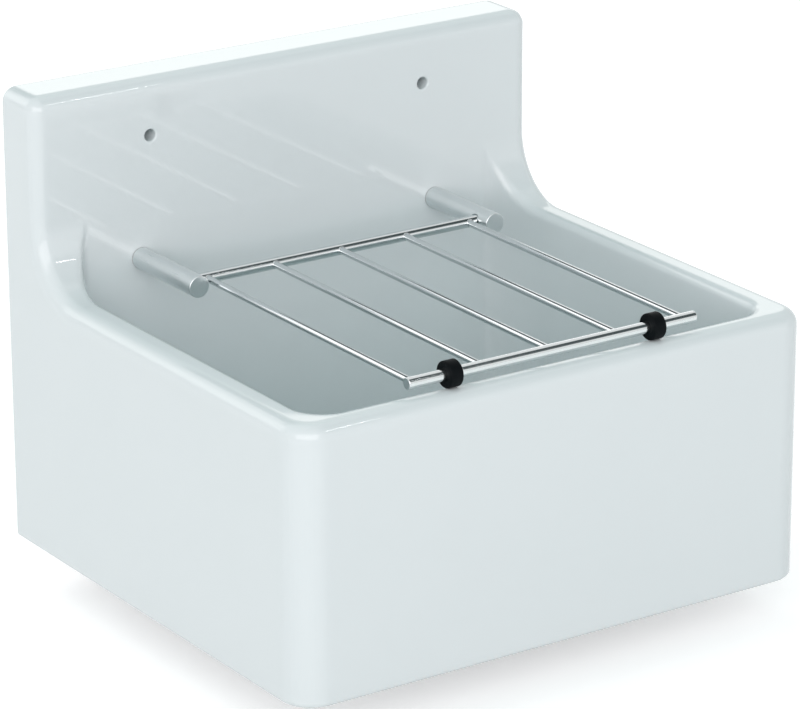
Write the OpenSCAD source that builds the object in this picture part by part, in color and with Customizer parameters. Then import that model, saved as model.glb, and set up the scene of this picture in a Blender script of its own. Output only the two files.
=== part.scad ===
// Wall-hung service sink of glazed ceramic: a deep bowl with a flat rim, a raised back
// and a hinged bucket grating of steel bar that folds up against the wall.
// Millimetres. The origin lies on the wall, in the middle of the width, at the height of
// the rim. X runs along the wall, -Y points at the user, +Z is up.

/* [Ceramic body] */
// Overall width
sink_w = 455; // [420:1:520]
// Overall depth from the wall to the front face
sink_d = 411; // [380:1:460]
// Height from the underside to the rim
box_h = 213.5; // [206:0.5:260]
// Height of the upstand above the rim
upstand_h = 150; // [130:1:220]
// Thickness of the upstand
upstand_t = 47; // [40:1:60]
// Width of the rim along each side
rim_side = 26.5; // [20:0.5:40]
// Width of the rim along the front
rim_front = 21.5; // [20:0.5:36]
// Thickness of the floor at the waste
floor_t = 30.5; // [24:0.5:44]
// Fall of the bowl's floor from the foot of its walls to the waste
floor_fall = 5; // [2:0.5:6]

/* [Edges and corners] */
// Radius of the two front corners seen from above
corner_r = 26; // [16:1:40]
// Rounding of the rim's outer edge and of the upstand's front edges
lip_r = 12; // [6:0.5:12]
// Radius of the upstand's top corners seen from the front
top_corner_r = 12; // [12:0.5:40]
// Rounding of the rim's inner edge
inner_lip_r = 7; // [3:0.5:8]
// Radius of the sweep from the rim up to the upstand
sweep_r = 51; // [30:1:80]
// Rounding of the edges that lie against the wall
back_r = 4; // [2:0.5:8]
// Rounding of the underside's edges
foot_r = 4; // [2:0.5:8]
// Radius of the bowl's front corners
bowl_front_r = 25; // [20:0.5:50]
// Radius of the bowl's rear corners
bowl_rear_r = 34; // [20:0.5:40]
// Rounding between the bowl's walls and its floor
floor_r = 20; // [8:0.5:20]

/* [Wall fixings] */
// Spacing of the two holes for the wall screws
fixing_spacing = 250; // [160:1:360]
// Height of these holes above the rim
fixing_z = 106; // [80:1:112]
// Diameter of these holes
fixing_d = 9.5; // [6:0.5:14]
// Rounding of their mouths in the glaze
fixing_lip_r = 1.5; // [0.5:0.25:3]

/* [Hinge posts] */
// Spacing of the two posts
post_spacing = 271; // [220:1:330]
// Diameter of a post
post_d = 17; // [15:0.5:19]
// Distance from the wall to a post's free end
post_reach = 132; // [128:1:160]
// Chamfer of the free end
post_chamfer = 0.8; // [0.3:0.1:2]
// Distance from the wall to the hinge axis
hinge_reach = 116; // [100:1:118]
// Height of the hinge axis above the rim
hinge_z = 10.2; // [9.8:0.1:16]
// Thickness of the gasket under a post
gasket_t = 1; // [0.5:0.25:3]

/* [Post fastening] */
// Diameter of the studs
stud_d = 8; // [6:0.5:8]
// Length of a stud inside its post
stud_grip = 24; // [12:1:36]
// Distance from the wall to a stud's rear end
stud_end = 1; // [0.5:0.25:1.5]
// Diameter of the clearance holes for the studs
stud_hole_d = 11; // [9:0.5:14]
// Diameter of the recess behind each post
recess_d = 28; // [26:0.5:40]
// Depth of the recess behind each post
recess_depth = 12; // [12:0.5:20]
// Outer diameter of the washers
washer_d = 24; // [18:0.5:25]
// Thickness of the soft washers
cushion_t = 2; // [1:0.25:2]
// Thickness of the steel washers
washer_t = 1.6; // [1:0.1:1.6]
// Width of the nuts across their flats
nut_af = 13; // [11:0.5:15]
// Thickness of the nuts
nut_t = 6.5; // [4:0.25:6.5]

/* [Grating] */
// Diameter of the rear and front bars
bar_d = 9; // [7:0.25:10]
// How far the rear bar reaches past each post's axis
bar_past = 2; // [0:0.25:3]
// Distance from the sink's front face to the front bar's axis
front_bar_in = 16.5; // [12:0.5:30]
// Length of the front bar
front_bar_len = 255; // [250:1:300]
// How far the front bar and its rings sit to the right of the middle
front_bar_shift = 2; // [0:0.5:4]
// Chamfer of the bars' ends
bar_chamfer = 0.6; // [0.2:0.1:1.5]
// Diameter of the rods between the bars
rod_d = 5.5; // [4:0.25:6.5]
// Pitch of the rods
rod_pitch = 60; // [50:0.5:61]

/* [Buffers] */
// Spacing of the two rubber rings
buffer_spacing = 180; // [140:1:230]
// Width of a ring
buffer_w = 11; // [8:0.5:16]
// Rounding of a ring's edges
buffer_edge_r = 1.5; // [0.5:0.25:2.5]

/* [Waste] */
// Distance from the wall to the outlet's axis
waste_reach = 218; // [210:1:230]
// Diameter of the outlet hole in the ceramic
outlet_d = 52; // [49.5:0.5:58]
// Diameter of the flange's seat in the floor
seat_d = 74; // [71:0.5:80]
// Depth of that seat
seat_depth = 6; // [6:0.5:10]
// Diameter of the pocket in the underside
pocket_d = 110; // [90:1:140]
// Depth of the pocket in the underside
pocket_depth = 6; // [3:0.5:8]
// Diameter of the waste's flange
flange_d = 70; // [64:0.5:70.5]
// Thickness of the flange
flange_t = 4; // [3:0.25:5]
// Outer diameter of the threaded tail
tail_d = 47.8; // [46:0.1:49]
// Bore of the tail
tail_bore = 40; // [38:0.5:42]
// Length of the tail below the underside
tail_below = 31.5; // [24:0.5:60]
// Width of the run-out groove between the large nut's thread and the trap's
groove_w = 1.5; // [1:0.25:3]
// Depth of that groove
groove_t = 0.7; // [0.4:0.1:1.5]
// Diameter of the strainer grid
grid_d = 56; // [50:0.5:60]
// Thickness of the strainer grid
grid_t = 2; // [1:0.25:2.5]
// Diameter of the holes in the strainer grid
grid_hole_d = 5.5; // [3:0.25:5.5]
// Diameter of the centre screw
screw_d = 5; // [4:0.5:6]
// Length of the centre screw
screw_len = 18; // [12:0.5:24]
// Width of the bridge that takes the screw
bridge_w = 8; // [7.5:0.5:10]
// Height of the bridge
bridge_h = 12; // [6:0.5:16]
// Thickness of the rubber washer under the bowl
bottom_seal_t = 4; // [2:0.5:6]
// Outer diameter of the rubber washer
bottom_seal_d = 76; // [66:0.5:84]
// Thickness of the slip washer
slip_washer_t = 1.5; // [0.5:0.25:2]
// Width of the large nut across its flats
backnut_af = 64; // [56:0.5:72]
// Thickness of the large nut
backnut_t = 10; // [6:0.5:12]

/* [Fits] */
// Radial play of the rear bar in its posts
pivot_gap = 0.08; // [0.02:0.01:0.1]
// Play at each end of the rear bar
end_play = 0.5; // [0.2:0.1:1]
// Radial gap at the threads
thread_gap = 0.05; // [0.02:0.01:0.1]
// Gap between the buffers and the rim
rest_gap = 0.2; // [0.1:0.05:0.3]
// Radial gap between a buffer and its bar
grip_gap = 0.05; // [0:0.01:0.1]
// Gap of the welded saddle joints
weld_gap = 0.02; // [0.01:0.01:0.05]
// Radial gap round the strainer grid
grid_gap = 0.3; // [0.1:0.05:0.5]

/* [Hidden] */
ROD_COUNT = 5;
$fn = 96;

// How far a cutting shape reaches past the surface it cuts
over = 1;
LEFT = -1;
RIGHT = 1;

// Plan of the body and bowl
half_w = sink_w / 2;
bowl_half_w = half_w - rim_side;
bowl_front = sink_d - rim_front;
sweep_start = upstand_t + sweep_r;

// Levels of the floor and the waste, as depths below the rim
floor_low = box_h - floor_t;
bowl_depth = floor_low - floor_fall;
seat_level = floor_low + seat_depth;
pocket_level = box_h - pocket_depth;
flange_top = floor_low;
grid_level = flange_top + grid_t;
// The sealing compound fills the seat under a flange that lies flush with the floor
top_seal_t = seat_depth - flange_t;
fall_r = min(bowl_half_w, waste_reach - upstand_t, bowl_front - waste_reach) - floor_r - over;

// Hinge and grating
post_x = post_spacing / 2;
post_r = post_d / 2;
post_foot = upstand_t + gasket_t;
bar_r = bar_d / 2;
rod_r = rod_d / 2;
rear_bar_half = post_x + bar_past;
front_bar_y = -(sink_d - front_bar_in);
// The buffers are as large as makes the grating lie level on the inner edge of the rim
edge_offset = max(0, front_bar_in - (rim_front - inner_lip_r));
buffer_r = norm([hinge_z + inner_lip_r, edge_offset]) - inner_lip_r - rest_gap;

// ---------- drawing aids ----------

// Draws its children on the right and, mirrored, on the left
module both_sides() {
    children();
    mirror([1, 0, 0]) children();
}

// Runs a profile drawn in (Y, Z) along X
module along_x(x0, x1) {
    translate([x0, 0, 0]) rotate([90, 0, 90]) linear_extrude(x1 - x0) children();
}

// Runs a profile drawn in (X, Z) along Y
module along_y(y0, y1) {
    translate([0, y1, 0]) rotate([90, 0, 0]) linear_extrude(y1 - y0) children();
}

// Runs a profile drawn in (X, Y) up from z0 to z1
module along_z(z0, z1) {
    translate([0, 0, z0]) linear_extrude(z1 - z0) children();
}

// Turns a profile of (radius, Z) through the front right quarter about a vertical axis
module front_quarter(x, y) {
    translate([x, y, 0]) rotate([0, 0, -90]) rotate_extrude(angle = 90) children();
}

// Turns a profile of (radius, Z) through the rear right quarter about a vertical axis
module rear_quarter(x, y) {
    translate([x, y, 0]) rotate_extrude(angle = 90) children();
}

// Turns a profile of (radius, Y) through the upper right quarter about an axis along Y
module top_quarter(x, z) {
    translate([x, 0, z]) rotate([-90, 0, 0]) rotate([0, 0, -90])
        rotate_extrude(angle = 90) children();
}

// Turns a profile of (radius, X) about the axis of the sweep, from the rim to the upstand
module sweep_quarter() {
    translate([0, -sweep_start, sweep_r]) rotate([90, 0, 90]) rotate([0, 0, -90])
        rotate_extrude(angle = 90) children();
}

// What rounding takes off a corner at the origin whose material lies at -x and -y
module round_cut(r) {
    difference() {
        translate([-r, -r]) square(r + over);
        translate([-r, -r]) circle(r);
    }
}

// A round bar along X with chamfered ends
module round_bar(half_len, r, chamfer) {
    translate([-half_len, 0, 0]) rotate([0, 90, 0]) rotate_extrude()
        polygon([
            [0, 0], [r - chamfer, 0], [r, chamfer],
            [r, 2 * half_len - chamfer], [r - chamfer, 2 * half_len], [0, 2 * half_len]
        ]);
}

// A ring that stands on z = 0
module ring(outer_r, inner_r, t) {
    difference() {
        cylinder(r = outer_r, h = t);
        translate([0, 0, -over]) cylinder(r = inner_r, h = t + 2 * over);
    }
}

// ---------- ceramic body ----------

// The body seen from the side: box, upstand and the concave sweep between them
module side_outline() {
    translate([-sink_d, -box_h]) square([sink_d, box_h]);
    translate([-upstand_t, -over]) square([upstand_t, upstand_h + over]);
    difference() {
        translate([-sweep_start, -over]) square([sweep_r + over, sweep_r + over]);
        translate([-sweep_start, sweep_r]) circle(sweep_r);
    }
}

// The bowl seen from above
module bowl_outline() {
    difference() {
        translate([-bowl_half_w, -bowl_front])
            square([2 * bowl_half_w, bowl_front - upstand_t]);
        for (side = [LEFT, RIGHT]) {
            translate([side * bowl_half_w, -bowl_front])
                mirror([side < 0 ? 1 : 0, 0]) mirror([0, 1]) round_cut(bowl_front_r);
            translate([side * bowl_half_w, -upstand_t])
                mirror([side < 0 ? 1 : 0, 0]) round_cut(bowl_rear_r);
        }
    }
}

// The filling that rounds the foot of the bowl's walls
module floor_fillets() {
    straight_front = bowl_half_w - bowl_front_r;
    straight_rear = bowl_half_w - bowl_rear_r;
    along_x(-straight_front, straight_front)
        translate([-bowl_front, -bowl_depth]) rotate(180) round_cut(floor_r);
    along_x(-straight_rear, straight_rear)
        translate([-upstand_t, -bowl_depth]) mirror([0, 1]) round_cut(floor_r);
    both_sides() {
        along_y(-(bowl_front - bowl_front_r), -(upstand_t + bowl_rear_r))
            translate([bowl_half_w, -bowl_depth]) mirror([0, 1]) round_cut(floor_r);
        front_quarter(straight_front, -(bowl_front - bowl_front_r))
            translate([bowl_front_r, -bowl_depth]) mirror([0, 1]) round_cut(floor_r);
        rear_quarter(straight_rear, -(upstand_t + bowl_rear_r))
            translate([bowl_rear_r, -bowl_depth]) mirror([0, 1]) round_cut(floor_r);
    }
}

// The hollow of the bowl, open upwards past the sweep, with its floor falling to the waste
module bowl_space() {
    difference() {
        along_z(-bowl_depth, sweep_r + over) bowl_outline();
        floor_fillets();
    }
    translate([0, -waste_reach, -floor_low])
        cylinder(r1 = seat_d / 2, r2 = fall_r, h = floor_fall);
}

// Seat, hole and underside pocket for the waste
module waste_opening() {
    translate([0, -waste_reach, 0]) {
        translate([0, 0, -seat_level]) cylinder(r = seat_d / 2, h = seat_depth + over);
        translate([0, 0, -box_h - over]) cylinder(r = outlet_d / 2, h = box_h);
        translate([0, 0, -box_h - over]) cylinder(r = pocket_d / 2, h = pocket_depth + over);
    }
}

// Rounds the rim's outer edge, and the front edges of the upstand on from it
module outer_lip_cut() {
    along_x(-(half_w - corner_r), half_w - corner_r)
        translate([-sink_d, 0]) mirror([1, 0]) round_cut(lip_r);
    along_x(-(half_w - top_corner_r), half_w - top_corner_r)
        translate([-upstand_t, upstand_h]) mirror([1, 0]) round_cut(lip_r);
    both_sides() {
        front_quarter(half_w - corner_r, -(sink_d - corner_r))
            translate([corner_r, 0]) round_cut(lip_r);
        along_y(-(sink_d - corner_r), -sweep_start)
            translate([half_w, 0]) round_cut(lip_r);
        sweep_quarter()
            translate([sweep_r, half_w]) mirror([1, 0]) round_cut(lip_r);
        along_z(sweep_r, upstand_h - top_corner_r)
            translate([half_w, -upstand_t]) mirror([0, 1]) round_cut(lip_r);
        top_quarter(half_w - top_corner_r, upstand_h - top_corner_r)
            translate([top_corner_r, -upstand_t]) mirror([0, 1]) round_cut(lip_r);
    }
}

// Rounds the rim's inner edge up to the face of the upstand
module inner_lip_cut() {
    along_x(-(bowl_half_w - bowl_front_r), bowl_half_w - bowl_front_r)
        translate([-bowl_front, 0]) round_cut(inner_lip_r);
    both_sides() {
        front_quarter(bowl_half_w - bowl_front_r, -(bowl_front - bowl_front_r))
            translate([bowl_front_r, 0]) mirror([1, 0]) round_cut(inner_lip_r);
        along_y(-(bowl_front - bowl_front_r), -sweep_start)
            translate([bowl_half_w, 0]) mirror([1, 0]) round_cut(inner_lip_r);
        intersection() {
            sweep_quarter() {
                translate([sweep_r, bowl_half_w]) rotate(180) round_cut(inner_lip_r);
                translate([sweep_r - over, bowl_half_w - bowl_rear_r - over])
                    square([inner_lip_r + over, bowl_rear_r + over]);
            }
            along_z(-inner_lip_r - over, sweep_r + over)
                translate([0, -sweep_start - over]) square([half_w, sweep_r + over]);
        }
    }
}

// Rounds the two front corners, the top corners, the back edges and the underside
module plain_edge_cuts() {
    along_x(-(half_w - top_corner_r), half_w - top_corner_r)
        translate([0, upstand_h]) round_cut(back_r);
    along_x(-(half_w - corner_r), half_w - corner_r)
        translate([-sink_d, -box_h]) rotate(180) round_cut(foot_r);
    both_sides() {
        along_z(-box_h - over, over)
            translate([half_w, -sink_d]) mirror([0, 1]) round_cut(corner_r);
        along_y(-upstand_t - over, over)
            translate([half_w, upstand_h]) round_cut(top_corner_r);
        along_z(-box_h - over, upstand_h - top_corner_r)
            translate([half_w, 0]) round_cut(back_r);
        top_quarter(half_w - top_corner_r, upstand_h - top_corner_r)
            translate([top_corner_r, 0]) round_cut(back_r);
        front_quarter(half_w - corner_r, -(sink_d - corner_r))
            translate([corner_r, -box_h]) mirror([0, 1]) round_cut(foot_r);
        along_y(-(sink_d - corner_r), over)
            translate([half_w, -box_h]) mirror([0, 1]) round_cut(foot_r);
    }
}

// A hole for a wall screw, with its mouth rounded in the glaze
module fixing_hole() {
    translate([0, over, 0]) rotate([90, 0, 0])
        cylinder(d = fixing_d, h = upstand_t + 2 * over);
    translate([0, -upstand_t, 0]) rotate([90, 0, 0]) rotate_extrude()
        translate([fixing_d / 2, 0]) mirror([1, 0]) round_cut(fixing_lip_r);
}

// The hole for a post's stud, with the recess that holds its nut clear of the wall
module stud_hole() {
    translate([0, over, 0]) rotate([90, 0, 0])
        cylinder(d = stud_hole_d, h = upstand_t + 2 * over);
    translate([0, over, 0]) rotate([90, 0, 0])
        cylinder(d = recess_d, h = recess_depth + over);
}

module sink_body() {
    color("whitesmoke")
    difference() {
        along_x(-half_w, half_w) side_outline();
        plain_edge_cuts();
        outer_lip_cut();
        bowl_space();
        inner_lip_cut();
        waste_opening();
        both_sides() {
            translate([fixing_spacing / 2, 0, fixing_z]) fixing_hole();
            translate([post_x, 0, hinge_z]) stud_hole();
        }
    }
}

// ---------- hinge posts and their fastening ----------

// A post stands out of the upstand; its inner side has a blind hole for the rear bar
module hinge_post(side) {
    post_len = post_reach - post_foot;
    hole_end = rear_bar_half + end_play;
    color("gainsboro")
    difference() {
        translate([side * post_x, -post_foot, hinge_z]) rotate([90, 0, 0]) rotate_extrude()
            polygon([
                [0, 0], [post_r, 0], [post_r, post_len - post_chamfer],
                [post_r - post_chamfer, post_len], [0, post_len]
            ]);
        translate([side * post_x, -post_foot + over, hinge_z]) rotate([90, 0, 0])
            cylinder(r = stud_d / 2 + thread_gap, h = stud_grip + 2 * over);
        translate([side * (hole_end - post_d), -hinge_reach, hinge_z]) rotate([0, side * 90, 0])
            cylinder(r = bar_r + pivot_gap, h = post_d);
    }
}

// Places a washer or nut of a post at a distance from the wall, facing away from it
module behind_post(side, from_wall) {
    translate([side * post_x, -from_wall, hinge_z]) rotate([-90, 0, 0]) children();
}

module post_gasket(side) {
    color("dimgray")
    behind_post(side, post_foot) ring(post_r, stud_d / 2 + thread_gap, gasket_t);
}

module post_stud(side) {
    color("silver")
    behind_post(side, post_foot + stud_grip)
        cylinder(d = stud_d, h = post_foot + stud_grip - stud_end);
}

module back_cushion(side) {
    color("dimgray")
    behind_post(side, recess_depth) ring(washer_d / 2, stud_d / 2 + thread_gap, cushion_t);
}

module back_washer(side) {
    color("silver")
    behind_post(side, recess_depth - cushion_t)
        ring(washer_d / 2, stud_d / 2 + thread_gap, washer_t);
}

module back_nut(side) {
    color("silver")
    behind_post(side, recess_depth - cushion_t - washer_t)
    difference() {
        cylinder(d = nut_af / cos(30), h = nut_t, $fn = 6);
        translate([0, 0, -over]) cylinder(r = stud_d / 2 + thread_gap, h = nut_t + 2 * over);
    }
}

// ---------- grating ----------

module rear_bar() {
    color("silver")
    translate([0, -hinge_reach, hinge_z]) round_bar(rear_bar_half, bar_r, bar_chamfer);
}

module front_bar() {
    color("silver")
    translate([front_bar_shift, front_bar_y, hinge_z])
        round_bar(front_bar_len / 2, bar_r, bar_chamfer);
}

// A rod between the bars; both ends are cut to the bars' curve and welded
module rod(number) {
    x = (number - (ROD_COUNT + 1) / 2) * rod_pitch;
    saddle_r = bar_r + weld_gap;
    color("lightgray")
    difference() {
        translate([x, -hinge_reach, hinge_z]) rotate([90, 0, 0])
            cylinder(r = rod_r, h = -front_bar_y - hinge_reach);
        for (y = [-hinge_reach, front_bar_y])
            translate([x - rod_d, y, hinge_z]) rotate([0, 90, 0])
                cylinder(r = saddle_r, h = 2 * rod_d);
    }
}

module buffer(side) {
    x = front_bar_shift + side * buffer_spacing / 2;
    color("black")
    translate([x - buffer_w / 2, front_bar_y, hinge_z])
    rotate([0, 90, 0]) rotate_extrude()
    difference() {
        translate([bar_r + grip_gap, 0]) square([buffer_r - bar_r - grip_gap, buffer_w]);
        translate([buffer_r, buffer_w]) round_cut(buffer_edge_r);
        translate([buffer_r, 0]) mirror([0, 1]) round_cut(buffer_edge_r);
    }
}

// ---------- waste ----------

// Places a piece of the waste at a level below the rim
module at_waste(level) {
    translate([0, -waste_reach, -level]) children();
}

// Flange, threaded tail and the bridge across its bore that takes the centre screw
module waste_body() {
    tail_end = box_h + tail_below;
    nut_end = pocket_level + bottom_seal_t + slip_washer_t + backnut_t;
    color("silver")
    difference() {
        union() {
            difference() {
                union() {
                    at_waste(flange_top + flange_t) cylinder(d = flange_d, h = flange_t);
                    at_waste(tail_end) cylinder(d = tail_d, h = tail_end - flange_top - over);
                }
                at_waste(grid_level)
                    cylinder(r = grid_d / 2 + grid_gap, h = grid_t + over);
                at_waste(tail_end + over)
                    cylinder(d = tail_bore, h = tail_end - flange_top + 2 * over);
                at_waste(nut_end + over + groove_w)
                    ring(tail_d / 2 + over, tail_d / 2 - groove_t, groove_w);
            }
            at_waste(grid_level + bridge_h)
                intersection() {
                    translate([-tail_d / 2, -bridge_w / 2, 0]) cube([tail_d, bridge_w, bridge_h]);
                    cylinder(d = (tail_bore + tail_d) / 2, h = bridge_h);
                }
        }
        at_waste(flange_top + screw_len + over)
            cylinder(r = screw_d / 2 + thread_gap, h = screw_len + 2 * over);
    }
}

// The grid: two rings of holes and a countersunk hole for the screw
module strainer_grid() {
    inner_ring_r = tail_bore / 4;
    outer_ring_r = tail_bore / 2 - grid_hole_d / 2 - over / 2;
    color("silver")
    at_waste(grid_level)
    difference() {
        cylinder(d = grid_d, h = grid_t);
        translate([0, 0, -over]) cylinder(r = screw_d / 2 + thread_gap, h = grid_t + 2 * over);
        for (i = [0:5])
            rotate([0, 0, i * 60]) translate([inner_ring_r, 0, -over])
                cylinder(d = grid_hole_d, h = grid_t + 2 * over);
        for (i = [0:11])
            rotate([0, 0, (i + 0.5) * 30]) translate([outer_ring_r, 0, -over])
                cylinder(d = grid_hole_d, h = grid_t + 2 * over);
    }
}

// The centre screw: a low round head on the grid and a shank into the bridge
module strainer_screw() {
    head_r = screw_d * 0.9;
    head_t = screw_d * 0.3;
    color("silver") {
        at_waste(flange_top + screw_len) cylinder(d = screw_d, h = screw_len);
        at_waste(flange_top)
        rotate_extrude()
        difference() {
            square([head_r, head_t]);
            translate([head_r, head_t]) round_cut(head_t / 2);
        }
    }
}

module waste_top_seal() {
    color("white")
    at_waste(seat_level) ring(flange_d / 2, tail_d / 2 + thread_gap, top_seal_t);
}

module waste_bottom_seal() {
    color("dimgray")
    at_waste(pocket_level + bottom_seal_t)
        ring(bottom_seal_d / 2, tail_d / 2 + thread_gap, bottom_seal_t);
}

module waste_slip_washer() {
    color("silver")
    at_waste(pocket_level + bottom_seal_t + slip_washer_t)
        ring(bottom_seal_d / 2, tail_d / 2 + thread_gap, slip_washer_t);
}

module waste_backnut() {
    color("silver")
    at_waste(pocket_level + bottom_seal_t + slip_washer_t + backnut_t)
    difference() {
        cylinder(d = backnut_af / cos(30), h = backnut_t, $fn = 6);
        translate([0, 0, -over])
            cylinder(r = tail_d / 2 + thread_gap, h = backnut_t + 2 * over);
    }
}

// ---------- nodes ----------

sink_body();
hinge_post(LEFT);  // hinge_post_left
hinge_post(RIGHT);  // hinge_post_right
post_gasket(LEFT);  // post_gasket_left
post_gasket(RIGHT);  // post_gasket_right
post_stud(LEFT);  // post_stud_left
post_stud(RIGHT);  // post_stud_right
back_cushion(LEFT);  // back_cushion_left
back_cushion(RIGHT);  // back_cushion_right
back_washer(LEFT);  // back_washer_left
back_washer(RIGHT);  // back_washer_right
back_nut(LEFT);  // back_nut_left
back_nut(RIGHT);  // back_nut_right
rear_bar();
front_bar();
rod(1);  // rod_1
rod(2);  // rod_2
rod(3);  // rod_3
rod(4);  // rod_4
rod(5);  // rod_5
buffer(LEFT);  // buffer_left
buffer(RIGHT);  // buffer_right
waste_body();
strainer_grid();
strainer_screw();
waste_top_seal();
waste_bottom_seal();
waste_slip_washer();
waste_backnut();
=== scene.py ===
"""Looks of a wall-hung ceramic service sink with a hinged bucket grating.

Lengths are in metres in the part's own frame: X along the wall, -Y towards the user, +Z up,
with the origin on the wall, in the middle of the width, at the height of the rim.
"""
from math import cos, pi, radians, sin, sqrt

import bpy
import numpy as np
from mathutils import Matrix, Vector


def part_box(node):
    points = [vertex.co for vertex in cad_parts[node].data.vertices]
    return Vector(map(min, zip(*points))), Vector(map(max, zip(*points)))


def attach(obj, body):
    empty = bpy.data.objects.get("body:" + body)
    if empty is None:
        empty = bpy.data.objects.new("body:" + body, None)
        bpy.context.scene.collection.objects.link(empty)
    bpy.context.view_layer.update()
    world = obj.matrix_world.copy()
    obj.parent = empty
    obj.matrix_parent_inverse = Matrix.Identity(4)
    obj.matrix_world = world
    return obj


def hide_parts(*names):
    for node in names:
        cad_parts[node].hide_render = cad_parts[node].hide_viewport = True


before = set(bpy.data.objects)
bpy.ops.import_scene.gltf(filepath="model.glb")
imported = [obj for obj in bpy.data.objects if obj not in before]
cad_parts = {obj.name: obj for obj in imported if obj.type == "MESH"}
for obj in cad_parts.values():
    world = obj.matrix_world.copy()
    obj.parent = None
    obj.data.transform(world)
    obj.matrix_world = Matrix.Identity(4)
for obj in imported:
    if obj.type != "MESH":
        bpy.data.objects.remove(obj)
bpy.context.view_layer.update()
bpy.context.scene.view_settings.view_transform = "Standard"

MM = 0.001
# Directions: along the wall, out of the wall, up and down
RIGHT = (1, 0, 0)
OUT = (0, -1, 0)
UP = (0, 0, 1)
DOWN = (0, 0, -1)


# ---------- sizes taken from the frame ----------

body_low, body_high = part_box("sink_body")
HALF_W = body_high.x
DEPTH = -body_low.y
BOX_H = -body_low.z
UPSTAND_H = body_high.z

post_low, post_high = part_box("hinge_post_right")
POST_X = (post_low.x + post_high.x) / 2
POST_Z = (post_low.z + post_high.z) / 2
POST_R = (post_high.x - post_low.x) / 2

rear_low, rear_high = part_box("rear_bar")
front_low, front_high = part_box("front_bar")
REAR_Y = (rear_low.y + rear_high.y) / 2
FRONT_Y = (front_low.y + front_high.y) / 2
BAR_Z = (rear_low.z + rear_high.z) / 2
BAR_R = (rear_high.z - rear_low.z) / 2

rod_low, rod_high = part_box("rod_3")
ROD_R = (rod_high.x - rod_low.x) / 2

waste_low, waste_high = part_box("waste_body")
WASTE_Y = (waste_low.y + waste_high.y) / 2
FLOOR_LOW = waste_high.z
TAIL_END = waste_low.z


# ---------- camera, stage and light ----------

# The camera stands where the photograph was taken from; its lens is given in photo pixels
CAMERA_AT = (-1.73573, -2.78559, 1.06579)
CAMERA_TURN = radians(-33.871)
CAMERA_DOWN = radians(19.7266)
CAMERA_ROLL = radians(-0.2022)
CAMERA_SEES = (0.05, 60)
SENSOR_WIDTH = 36.0
PHOTO_WIDTH = 800
FOCAL_PIXELS = 4357.5

WHITE = (1, 1, 1)
FLOOR_SIZE = 24
FLOOR_DROP = 1 * MM
FLOOR_COLOUR = (0.8, 0.8, 0.8)
# How much the floor glows to the rays that show the background, so that it is white to them
FLOOR_LIFT = 0.42

# Light of the studio on the object, from its walls and from its ceiling. The one fades into
# the other between two heights of the direction that it comes from
WALLS = (0.90, 0.815, 0.84)
CEILING = (0.39, 0.505, 0.50)
FADE_FROM = 0.15
FADE_TO = 0.85

CARD_COLOUR = (0, 0.02, 0.024)
# Each dark card: the direction it lies in, its radius and soft edge in degrees, and the share
# of the white that it leaves
CARDS = (
    ((0.52, -0.42, 0.74), 23, 6, 0.07),
    ((0.04, 0.78, 0.62), 18, 5, 0.08),
)

# The middle of the sink, at which all the lights aim
LIGHTS_AIM = (0, -0.2, 0)


def add_camera():
    data = bpy.data.cameras.new("camera")
    data.sensor_width = SENSOR_WIDTH
    data.lens = FOCAL_PIXELS / PHOTO_WIDTH * SENSOR_WIDTH
    data.clip_start, data.clip_end = CAMERA_SEES
    camera = bpy.data.objects.new("camera", data)
    bpy.context.scene.collection.objects.link(camera)
    ahead = Vector((-sin(CAMERA_TURN) * cos(CAMERA_DOWN),
                    cos(CAMERA_TURN) * cos(CAMERA_DOWN), -sin(CAMERA_DOWN)))
    level = Vector((cos(CAMERA_TURN), sin(CAMERA_TURN), 0))
    above = level.cross(ahead)
    right = level * cos(CAMERA_ROLL) + above * sin(CAMERA_ROLL)
    up = above * cos(CAMERA_ROLL) - level * sin(CAMERA_ROLL)
    turn = Matrix((right, up, -ahead)).transposed()
    camera.matrix_world = Matrix.Translation(CAMERA_AT) @ turn.to_4x4()
    bpy.context.scene.camera = camera


def feed(tree, socket, value):
    """Sets a socket to a number or a colour, or links another node's output to it."""
    if isinstance(value, bpy.types.NodeSocket):
        tree.links.new(value, socket)
    elif isinstance(value, (tuple, list)):
        socket.default_value = (*value, 1)
    else:
        socket.default_value = value


def computed(tree, operation, first, second):
    """What a Math node makes of two values."""
    node = tree.nodes.new("ShaderNodeMath")
    node.operation = operation
    feed(tree, node.inputs[0], first)
    feed(tree, node.inputs[1], second)
    return node.outputs[0]


def tint(tree, share, first, second):
    """A colour between two, by a share from 0 to 1."""
    mix = tree.nodes.new("ShaderNodeMix")
    mix.data_type = "RGBA"
    feed(tree, mix.inputs["Factor"], share)
    feed(tree, mix.inputs["A"], first)
    feed(tree, mix.inputs["B"], second)
    return mix.outputs["Result"]


def new_material(name):
    """A node material, with its tree and its shader."""
    material = bpy.data.materials.new(name)
    material.use_nodes = True
    tree = material.node_tree
    return material, tree, tree.nodes["Principled BSDF"]


def background_rays(tree, camera=True):
    """1 for glossy and transmission rays, and for camera rays unless they are left out."""
    rays = tree.nodes.new("ShaderNodeLightPath").outputs
    seen = computed(tree, "MAXIMUM", rays["Is Glossy Ray"], rays["Is Transmission Ray"])
    return computed(tree, "MAXIMUM", seen, rays["Is Camera Ray"]) if camera else seen


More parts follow.
